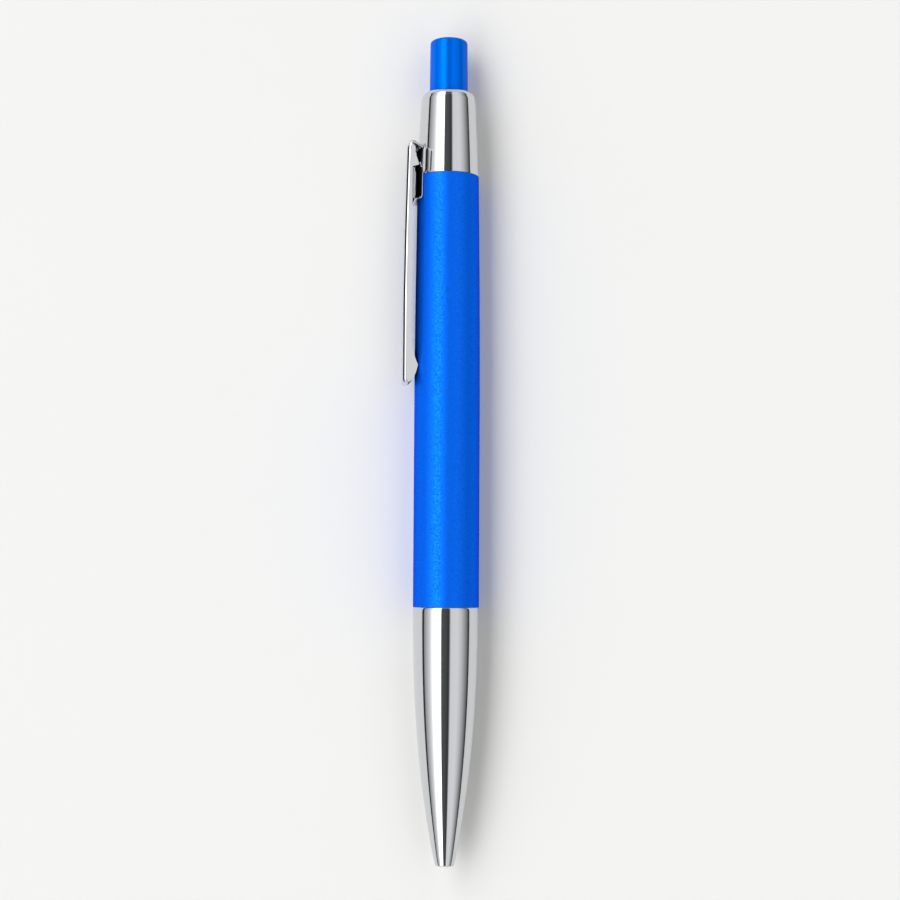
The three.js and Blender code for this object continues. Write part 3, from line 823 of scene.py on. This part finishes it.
def wing_line(across):
    """The saddle's wing at a place across, its upper corner round and its edge a bit lifted."""
    beyond = max(0.0, abs(across) - (WING_HALF - WING_ROUND))
    top = LEAF_TOP - WING_ROUND + math.sqrt(max(0.0, WING_ROUND ** 2 - beyond ** 2))
    lift = WING_LIFT * (beyond / WING_ROUND) ** 2
    return [(saddle_reach(height, across) + lift, height) for height in steps(WING_FOOT, top, 8)]


print(f"leaf from {SOLE} to {LEAF_TOP} mm over the joint, {2 * LEAF_HALF:.1f} mm wide")


# %% Spring leaf
def strip(line_at, low, high, count):
    """Points and faces of a strip of sheet, from its side line at each place across."""
    points = []
    for across in steps(low, high, count):
        line = line_at(across)
        points += [on_clip(reach, height, across) for reach, height in line]
    return points, grid_faces(count + 1, len(line))


up = Vector((0, 1, 0))
# The leaf's face behind the clip is the rolled steel painted dark as shade.
leaf = sheet_metal("clip_leaf_folded", *strip(leaf_line, -LEAF_HALF, LEAF_HALF, 24), LEAF_SHEET,
                   -outward, behind=rolled_steel_painted_shade)
tabs = [
    sheet_metal("clip_leaf_tab", *strip(tab_line, low, high, 4), TAB_SHEET, -up)
    for low, high in ((-LEAF_HALF, -TAB_INNER), (TAB_INNER, LEAF_HALF))
]
wings = [
    sheet_metal("clip_leaf_wing", *strip(wing_line, low, high, 20), LEAF_SHEET, -outward)
    for low, high in ((-WING_HALF, -LEAF_HALF), (LEAF_HALF, WING_HALF))
]
belongs(leaf, "barrel", "chrome", "clip_leaf")
for kind, pair in (("tab", tabs), ("wing", wings)):
    for side, piece in zip(("far", "near"), pair):
        piece.name = f"clip_leaf_{kind}_{side}"
        belongs(piece, "barrel", "chrome")

# %% [markdown]
# The return spring is wound from steel wire, with its last turn at each end closed flat so that
# it stands straight in its seat. Its shape follows a rule, so Geometry Nodes make it: a line's
# points are wound round the axis by their place along it, rising slowly in the closed ends and
# faster between, and a round wire is swept along.

# %% Tools for Geometry Nodes
def new_tree(name, sizes, takes_mesh=False):
    """A tree that is given its sizes in metres, a material and perhaps a mesh."""
    tree = bpy.data.node_groups.new(name, "GeometryNodeTree")
    if takes_mesh:
        tree.interface.new_socket("Geometry", in_out="INPUT", socket_type="NodeSocketGeometry")
    for label in sizes:
        tree.interface.new_socket(label, in_out="INPUT", socket_type="NodeSocketFloat")
    tree.interface.new_socket("Material", in_out="INPUT", socket_type="NodeSocketMaterial")
    tree.interface.new_socket("Geometry", in_out="OUTPUT", socket_type="NodeSocketGeometry")
    return tree, tree.nodes.new("NodeGroupInput").outputs


def end_tree(tree, given, geometry):
    """Ends a tree with real geometry in its material."""
    real = add(tree, "GeometryNodeRealizeInstances", {"Geometry": geometry})
    painted = add(tree, "GeometryNodeSetMaterial",
                  {"Geometry": real.outputs["Geometry"], "Material": given["Material"]})
    add(tree, "NodeGroupOutput", {"Geometry": painted.outputs["Geometry"]})


def maths(tree, operation, *values):
    """The result of one operation on values or sockets."""
    node = tree.nodes.new("ShaderNodeMath")
    node.operation = operation
    for socket, value in zip(node.inputs, values):
        if isinstance(value, bpy.types.NodeSocket):
            tree.links.new(value, socket)
        else:
            socket.default_value = value
    return node.outputs["Value"]


def grow(piece, tree, material, crease, **sizes):
    """Runs a tree on a piece with its sizes set, and keeps the result as a plain mesh."""
    modifier = piece.modifiers.new(tree.name, "NODES")
    modifier.node_group = tree
    values = {label.replace("_", " "): size for label, size in sizes.items()}
    for item in tree.interface.items_tree:
        if item.in_out == "INPUT" and item.name in values:
            modifier[item.identifier] = values[item.name]
        if item.in_out == "INPUT" and item.name == "Material":
            modifier[item.identifier] = material
    return applied(piece, crease)


def empty_piece(name):
    """A piece with no mesh yet, for a tree that makes its own."""
    piece = bpy.data.objects.new(name, bpy.data.meshes.new(name))
    bpy.context.scene.collection.objects.link(piece)
    return piece


# %% Return spring
WINDING_POINTS = 700
WIRE_SIDES = 12
CLOSED_PITCH = 2.08


def winding_tree():
    sizes = ["Coil Radius", "Wire Radius", "Length", "Turns", "Closed Turns", "Axis X", "Axis Z",
             "Foot"]
    tree, given = new_tree("wound_spring", sizes)
    line = add(tree, "GeometryNodeCurvePrimitiveLine")
    fine = add(tree, "GeometryNodeResampleCurve",
               {"Curve": line.outputs["Curve"], "Count": WINDING_POINTS})
    share = add(tree, "GeometryNodeSplineParameter").outputs["Factor"]
    angle = maths(tree, "MULTIPLY", maths(tree, "MULTIPLY", share, given["Turns"]), 2 * math.pi)
    closed_share = maths(tree, "DIVIDE", given["Closed Turns"], given["Turns"])
    open_share = add(tree, "ShaderNodeMapRange", {
        "Value": share, "From Min": closed_share,
        "From Max": maths(tree, "SUBTRACT", 1.0, closed_share), "To Min": 0.0, "To Max": 1.0})
    touching = maths(tree, "MULTIPLY", maths(tree, "MULTIPLY", given["Wire Radius"], CLOSED_PITCH),
                     given["Turns"])
    rise = maths(tree, "SUBTRACT", given["Length"],
                 maths(tree, "MULTIPLY_ADD", given["Wire Radius"], 2.0, touching))
    climb = maths(tree, "MULTIPLY_ADD", open_share.outputs["Result"], rise,
                  maths(tree, "MULTIPLY_ADD", share, touching, given["Wire Radius"]))
    aside, above = (
        maths(tree, "MULTIPLY_ADD", maths(tree, wave, angle), given["Coil Radius"], given[axis])
        for wave, axis in (("COSINE", "Axis X"), ("SINE", "Axis Z"))
    )
    place = add(tree, "ShaderNodeCombineXYZ",
                {"X": aside, "Y": maths(tree, "ADD", climb, given["Foot"]), "Z": above})
    wound = add(tree, "GeometryNodeSetPosition",
                {"Geometry": fine.outputs["Curve"], "Position": place.outputs["Vector"]})
    ring_of_wire = add(tree, "GeometryNodeCurvePrimitiveCircle", {"Resolution": WIRE_SIDES})
    tree.links.new(given["Wire Radius"], ring_of_wire.inputs["Radius"])
    wire = add(tree, "GeometryNodeCurveToMesh", {
        "Curve": wound.outputs["Geometry"], "Profile Curve": ring_of_wire.outputs["Curve"],
        "Fill Caps": True})
    end_tree(tree, given, wire.outputs["Mesh"])
    return tree


COIL_RADIUS = 2.16
WIRE_RADIUS = 0.22
TURNS = 11.0
CLOSED_TURNS = 1.25
spring_low, spring_high = span("return_spring")
spring = grow(
    empty_piece("return_spring_wound"), winding_tree(), spring_wire, crease=50,
    Coil_Radius=COIL_RADIUS * MM, Wire_Radius=WIRE_RADIUS * MM,
    Length=(spring_high.y - spring_low.y) * MM, Turns=TURNS, Closed_Turns=CLOSED_TURNS,
    Axis_X=AXIS_X * MM, Axis_Z=AXIS_Z * MM, Foot=spring_low.y * MM)
belongs(spring, "spring", "spring_steel", "return_spring")
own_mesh(spring)

# %% [markdown]
# The cone is screwed on a fine thread, which shows when it is undone. A thread is one groove
# that winds round, so its depth at a point depends only on the point's height and angle: a tree
# moves each point of a plain turned sleeve towards the axis by that depth. The groove fades out
# at both ends of the thread.

# %% Threaded front bush
ON_THE_THREAD = 0.05 * MM


def thread_tree():
    sizes = ["Pitch", "Depth", "Radius", "Start", "End", "Axis X", "Axis Z"]
    tree, given = new_tree("cut_thread", sizes, takes_mesh=True)
    place = add(tree, "ShaderNodeSeparateXYZ",
                {"Vector": add(tree, "GeometryNodeInputPosition").outputs["Position"]}).outputs
    aside = maths(tree, "SUBTRACT", place["X"], given["Axis X"])
    above = maths(tree, "SUBTRACT", place["Z"], given["Axis Z"])
    squares = maths(tree, "MULTIPLY_ADD", aside, aside, maths(tree, "MULTIPLY", above, above))
    radius = maths(tree, "SQRT", squares)
    turn = maths(tree, "DIVIDE", maths(tree, "ARCTAN2", above, aside), 2 * math.pi)
    climbed = maths(tree, "DIVIDE", place["Y"], given["Pitch"])
    phase = maths(tree, "FRACT", maths(tree, "ADD", climbed, turn))
    from_middle = maths(tree, "ABSOLUTE", maths(tree, "SUBTRACT", phase, 0.5))
    groove = maths(tree, "SUBTRACT", 1.0, maths(tree, "MULTIPLY", from_middle, 2.0))
    fades = [
        add(tree, "ShaderNodeMapRange", {
            "Value": from_end, "From Min": 0.0, "From Max": given["Pitch"],
            "To Min": 0.0, "To Max": 1.0}).outputs["Result"]
        for from_end in (maths(tree, "SUBTRACT", place["Y"], given["Start"]),
                         maths(tree, "SUBTRACT", given["End"], place["Y"]))
    ]
    near = maths(tree, "COMPARE", radius, given["Radius"], ON_THE_THREAD)
    depth = maths(tree, "MULTIPLY", maths(tree, "MULTIPLY", groove, given["Depth"]),
                  maths(tree, "MULTIPLY", near, maths(tree, "MULTIPLY", *fades)))
    inwards = maths(tree, "MULTIPLY", maths(tree, "DIVIDE", depth, radius), -1.0)
    offset = add(tree, "ShaderNodeCombineXYZ", {
        "X": maths(tree, "MULTIPLY", aside, inwards),
        "Z": maths(tree, "MULTIPLY", above, inwards)})
    cut = add(tree, "GeometryNodeSetPosition",
              {"Geometry": given["Geometry"], "Offset": offset.outputs["Vector"]})
    end_tree(tree, given, cut.outputs["Geometry"])
    return tree


THREAD_RADIUS = 4.2
BUSH_RADIUS = 4.4
THREAD_PITCH = 1.0
THREAD_DEPTH = 0.3
bush_low = station("front_bush", 0)
bush_high = station("front_bush", 1)
bush_outline = [
    (REFILL_BORE, bush_low),
    *[(THREAD_RADIUS, at) for at in steps(bush_low, BARREL_FOOT, 84)],
    (BUSH_RADIUS, BARREL_FOOT),
    (BUSH_RADIUS, bush_high),
    (REFILL_BORE, bush_high),
]
bush = turned("front_bush_threaded", bush_outline, turned_brass, around=96)
bush = grow(
    bush, thread_tree(), turned_brass, crease=50,
    Pitch=THREAD_PITCH * MM, Depth=THREAD_DEPTH * MM, Radius=THREAD_RADIUS * MM,
    Start=(NOSE_END + bush_low) * MM, End=(NOSE_END + BARREL_FOOT) * MM,
    Axis_X=AXIS_X * MM, Axis_Z=AXIS_Z * MM)
belongs(bush, "barrel", "brass", "front_bush")

# %% [markdown]
# The refill's point comes out of the nose when the button is pressed, so it is made finer than
# the rest of the refill: a turned brass point with a crimped lip, and a ball 0.7 mm across that
# lies free in its cup.

# %% Writing point
POINT_FOOT = station("refill_point", 0)
POINT_TOP = station("refill_point", 1)
BALL_RADIUS = 0.35
BALL_CUP = 0.4
POINT_LIP = 0.5
LIP_CHAMFER = (0.04, 0.06)
LIP_TOP = (POINT_LIP + 0.02, 0.35)
POINT_RADIUS = 1.05
POINT_TAPER = 2.4
TAPER_END = ((POINT_RADIUS - 0.03, POINT_TAPER - 0.05), (POINT_RADIUS, POINT_TAPER + 0.1))
ball_centre = station("writing_ball", 0) + BALL_RADIUS
point_outline = [
    (0.0, ball_centre + 2 * BALL_RADIUS),
    (BALL_CUP, ball_centre + 2 * BALL_RADIUS),
    (BALL_CUP, POINT_FOOT),
    (POINT_LIP - LIP_CHAMFER[0], POINT_FOOT),
    (POINT_LIP, POINT_FOOT + LIP_CHAMFER[1]),
    *[(radius, POINT_FOOT + rise) for radius, rise in (LIP_TOP, *TAPER_END)],
    (POINT_RADIUS, POINT_TOP),
    (0.0, POINT_TOP),
]
point = turned("refill_point_turned", point_outline, turned_brass, around=64)
belongs(point, "refill", "brass", "refill_point")
ball_side = arc((0.0, ball_centre), BALL_RADIUS, -90, 90, 16)
ball_outline = [(0.0, ball_side[0][1]), *ball_side[1:-1], (0.0, ball_side[-1][1])]
ball = turned("writing_ball_ground", ball_outline, ground_carbide, around=32)
belongs(ball, "refill", "carbide", "writing_ball")

# %% [markdown]
# The pieces that stay inside keep their CAD shapes, which already have the slots, ribs and
# teeth that make the mechanism click. They only get their finishes.

# %% Finishes of the inner pieces
inner_finishes = {
    "rear_bush": turned_brass,
    "cam_sleeve": guide_white,
    "pusher": guide_white,
    "cam_rotor": ratchet_black,
    "refill_neck": turned_brass,
    "refill_tube": drawn_steel,
    "refill_crown": ratchet_black,
    "ink_column": ink_blue,
    "grease_plug": grease_amber,
}
for name, material in inner_finishes.items():
    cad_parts[name].data.materials[0] = material
    print(f"{name}: {material.name}")

# %% [markdown]
# The pen lies on a plain pale table. The light is a plain studio of long soft strips beside the
# pen, one bright on the clip's side and one weaker on the other, with a dark gap overhead.
# Polished metal shows such a studio as clean bands along its length. It is written as the
# brightness of the surroundings at each angle round the pen's own direction. Beyond both ends
# of the pen a pale wall closes the studio, which lights its rounded edges.

# %% Table and studio
TABLE_SIZE = 3000.0
TABLE_CLOUD = 30


def table_top():
    half = TABLE_SIZE / 2 * MM
    corners = [(-half, -half, 0), (half, -half, 0), (half, half, 0), (-half, half, 0)]
    material, tree, shader = finish("pale_matt_table", "ececea", 0.0, 0.6)
    vary(tree, shader, noise(tree, TABLE_CLOUD), 0.55, 0.65)
    table = new_mesh("table_top", corners, [(0, 1, 2, 3)], material)


BRIGHTEST = 3.15
END_LIGHT = 0.75
# How much of a direction points along the pen where the end wall begins and where it is full
END_WALL = (0.6, 0.9)
# Angle from overhead in degrees, negative on the clip's side, and brightness from 0 to 1
studio_light = [
    (-96, 0.01), (-83, 0.01), (-80, 0.13), (-75, 0.165), (-59, 0.29), (-50, 0.45), (-42, 1.0),
    (-17.5, 1.0), (-15.5, 0.035), (0, 0.029), (11, 0.014), (13, 0.055), (18, 0.29), (43, 0.3),
    (57, 0.23), (74, 0.11), (80, 0.07), (85, 0.02), (96, 0.01),
]


def studio():
    world = bpy.data.worlds.new("studio")
    bpy.context.scene.world = world
    world.use_nodes = True
    tree = world.node_tree
    way = add(tree, "ShaderNodeSeparateXYZ",
              {"Vector": add(tree, "ShaderNodeTexCoord").outputs["Generated"]}).outputs
    angle = maths(tree, "ARCTAN2", way["X"], way["Z"])
    share = maths(tree, "MULTIPLY_ADD", angle, 0.5 / math.pi, 0.5)
    ramp = add(tree, "ShaderNodeValToRGB", {"Fac": share})
    marks = ramp.color_ramp.elements
    marks.remove(marks[1])
    for degrees, brightness in studio_light:
        mark = marks.new(0.5 + degrees / 360)
        mark.color = (brightness, brightness, brightness, 1)
    marks.remove(marks[0])
    sides = maths(tree, "MULTIPLY", ramp.outputs["Color"], BRIGHTEST)
    towards_end = add(tree, "ShaderNodeMapRange", {
        "Value": maths(tree, "ABSOLUTE", way["Y"]),
        "From Min": END_WALL[0], "From Max": END_WALL[1], "To Min": 0.0, "To Max": 1.0,
    }, interpolation_type="SMOOTHSTEP").outputs["Result"]
    ends = maths(tree, "MULTIPLY", towards_end, maths(tree, "SUBTRACT", END_LIGHT, sides))
    background = tree.nodes["Background"]
    tree.links.new(maths(tree, "ADD", sides, ends), background.inputs["Strength"])
    background.inputs["Color"].default_value = linear("ffffff")


table_top()
studio()
print(f"table {TABLE_SIZE:.0f} mm wide, studio of {len(studio_light)} marks round the pen")

# %% [markdown]
# The camera looks down on the pen from a little over twice its own length, tilted slightly
# towards the button, and turned by a third of a degree, as it was held for the photograph.

# %% Camera
CAMERA_OVER_AXIS = 300.0
CAMERA_FOOT = 45.3
CAMERA_ASIDE = 0.54
CAMERA_TILT = math.radians(4.46)
CAMERA_TURN = math.radians(0.315)
LENS = 71.78
SENSOR = 36.0
NEAREST_SEEN = 10.0


def photographer():
    data = bpy.data.cameras.new("camera")
    data.sensor_width = SENSOR
    data.lens = LENS
    data.clip_start = NEAREST_SEEN * MM
    camera = bpy.data.objects.new("camera", data)
    bpy.context.scene.collection.objects.link(camera)
    camera.location = ((AXIS_X + CAMERA_ASIDE) * MM, (NOSE_END + CAMERA_FOOT) * MM,
                       (AXIS_Z + CAMERA_OVER_AXIS) * MM)
    camera.rotation_mode = "XYZ"
    turn = Matrix.Rotation(CAMERA_TILT, 4, "X") @ Matrix.Rotation(CAMERA_TURN, 4, "Z")
    camera.rotation_euler = turn.to_euler()
    bpy.context.scene.camera = camera


photographer()
bpy.context.scene.view_settings.view_transform = "Standard"
print(f"camera {CAMERA_OVER_AXIS:.0f} mm over the pen's axis with a lens of {LENS} mm")
